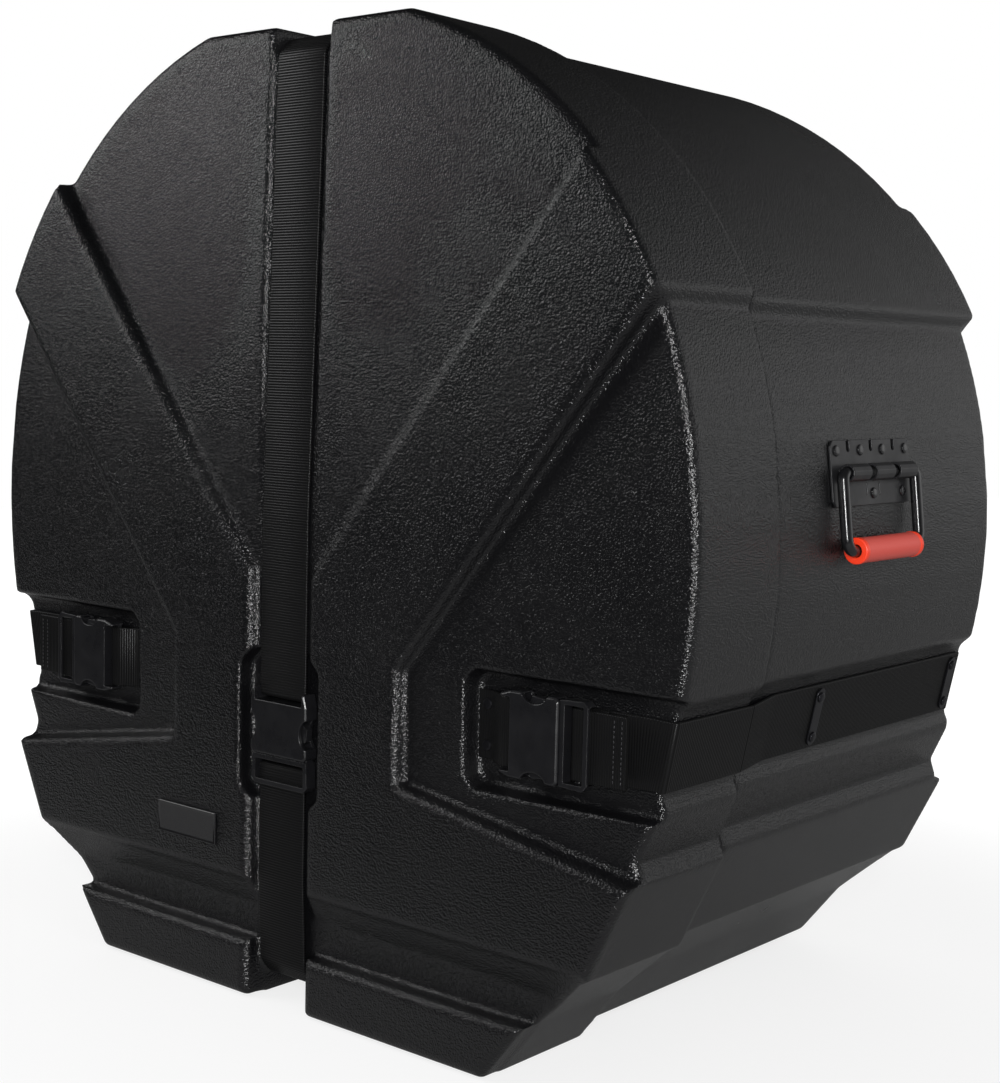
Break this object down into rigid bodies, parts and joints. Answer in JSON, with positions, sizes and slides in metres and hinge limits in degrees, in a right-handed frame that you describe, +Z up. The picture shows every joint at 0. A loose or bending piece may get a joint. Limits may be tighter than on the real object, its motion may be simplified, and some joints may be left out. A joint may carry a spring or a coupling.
{
  "type": "bass drum case",
  "caption": "Round-shouldered bass drum case with a telescoping lid, relief-moulded front, buckled webbing straps and sprung carry handles.",
  "frame": {"origin": "centre of the case's footprint on the floor, halfway between the lid's front and the base's rear", "axes": "+Z up, -Y out of the lid's relief front, +X to the right of someone who looks at that front"},
  "size_m": [0.778, 0.468, 0.757],
  "materials": {
    "shell_plastic": "black polyethylene with a fine moulded pebble texture",
    "foam": "charcoal open-cell foam",
    "webbing": "black woven polypropylene webbing",
    "buckle_plastic": "satin black acetal",
    "keeper_steel": "dark zinc-plated steel",
    "handle_steel": "gloss black powder-coated steel",
    "grip_rubber": "red-orange moulded rubber",
    "plate": "plain black plate, bare"
  },
  "bodies": {
    "base": {"base_shell": "shell_plastic", "centre_keeper": "keeper_steel", "centre_keeper_rivets": "keeper_steel", "centre_strap_base": "webbing", "handle_plate_left": "handle_steel", "handle_plate_right": "handle_steel", "handle_rivets_left": "handle_steel", "handle_rivets_right": "handle_steel", "keeper_mid_left": "keeper_steel", "keeper_mid_right": "keeper_steel", "keeper_rear_left": "keeper_steel", "keeper_rear_right": "keeper_steel", "keeper_rivets_mid_left": "keeper_steel", "keeper_rivets_mid_right": "keeper_steel", "keeper_rivets_rear_left": "keeper_steel", "keeper_rivets_rear_right": "keeper_steel", "rear_pad": "foam", "side_strap_base_left": "webbing", "side_strap_base_right": "webbing", "wall_lining": "foam"},
    "lid": {"lid_shell": "shell_plastic", "lid_pad": "foam", "name_plate": "plate", "centre_strap_upper": "webbing", "centre_strap_lower": "webbing", "centre_buckle_female": "buckle_plastic", "centre_buckle_male": "buckle_plastic", "strap_stub_right": "webbing", "stub_rivets_right": "keeper_steel", "buckle_female_right": "buckle_plastic", "side_strap_front_right": "webbing", "strap_stub_left": "webbing", "stub_rivets_left": "keeper_steel", "buckle_female_left": "buckle_plastic", "side_strap_front_left": "webbing"},
    "male_right": {"buckle_male_right": "buckle_plastic", "strap_tail_right": "webbing"},
    "male_left": {"buckle_male_left": "buckle_plastic", "strap_tail_left": "webbing"},
    "bail_right": {"handle_bail_right": "handle_steel", "handle_grip_right": "grip_rubber"},
    "bail_left": {"handle_bail_left": "handle_steel", "handle_grip_left": "grip_rubber"},
    "centre_prong_right": {"centre_buckle_prong_right": "buckle_plastic"},
    "prong_upper_right": {"buckle_prong_upper_right": "buckle_plastic"},
    "prong_lower_right": {"buckle_prong_lower_right": "buckle_plastic"},
    "centre_prong_left": {"centre_buckle_prong_left": "buckle_plastic"},
    "prong_upper_left": {"buckle_prong_upper_left": "buckle_plastic"},
    "prong_lower_left": {"buckle_prong_lower_left": "buckle_plastic"}
  },
  "joints": [
    {"name": "lid_slide", "type": "slide", "parent": "base", "child": "lid", "axis": [0, -1, 0], "range_m": [0, 0.25]},
    {"name": "bail_hinge_right", "type": "hinge", "parent": "base", "child": "bail_right", "pos_m": [0.3727, 0.01795, 0.43401], "axis": [0, -1, 0], "range_deg": [0, 90], "stiffness_Nm_per_rad": 0.05},
    {"name": "unbuckle_right", "type": "slide", "parent": "lid", "child": "male_right", "axis": [1, 0, 0], "range_m": [0, 0.032]},
    {"name": "centre_prong_squeeze_right", "type": "hinge", "parent": "lid", "child": "centre_prong_right", "pos_m": [0.017, -0.22405, 0.1993], "axis": [0, -1, 0], "range_deg": [0, 7], "stiffness_Nm_per_rad": 0.3},
    {"name": "prong_squeeze_upper_right", "type": "hinge", "parent": "male_right", "child": "prong_upper_right", "pos_m": [0.2667, -0.21565, 0.267], "axis": [0, -1, 0], "range_deg": [0, 7], "stiffness_Nm_per_rad": 0.3},
    {"name": "prong_squeeze_lower_right", "type": "hinge", "parent": "male_right", "child": "prong_lower_right", "pos_m": [0.2667, -0.21565, 0.233], "axis": [0, 1, 0], "range_deg": [0, 7], "stiffness_Nm_per_rad": 0.3},
    {"name": "bail_hinge_left", "type": "hinge", "parent": "base", "child": "bail_left", "pos_m": [-0.3727, 0.01795, 0.43401], "axis": [0, 1, 0], "range_deg": [0, 90], "stiffness_Nm_per_rad": 0.05},
    {"name": "unbuckle_left", "type": "slide", "parent": "lid", "child": "male_left", "axis": [-1, 0, 0], "range_m": [0, 0.032]},
    {"name": "centre_prong_squeeze_left", "type": "hinge", "parent": "lid", "child": "centre_prong_left", "pos_m": [-0.017, -0.22405, 0.1993], "axis": [0, 1, 0], "range_deg": [0, 7], "stiffness_Nm_per_rad": 0.3},
    {"name": "prong_squeeze_upper_left", "type": "hinge", "parent": "male_left", "child": "prong_upper_left", "pos_m": [-0.2667, -0.21565, 0.267], "axis": [0, 1, 0], "range_deg": [0, 7], "stiffness_Nm_per_rad": 0.3},
    {"name": "prong_squeeze_lower_left", "type": "hinge", "parent": "male_left", "child": "prong_lower_left", "pos_m": [-0.2667, -0.21565, 0.233], "axis": [0, -1, 0], "range_deg": [0, 7], "stiffness_Nm_per_rad": 0.3}
  ]
}
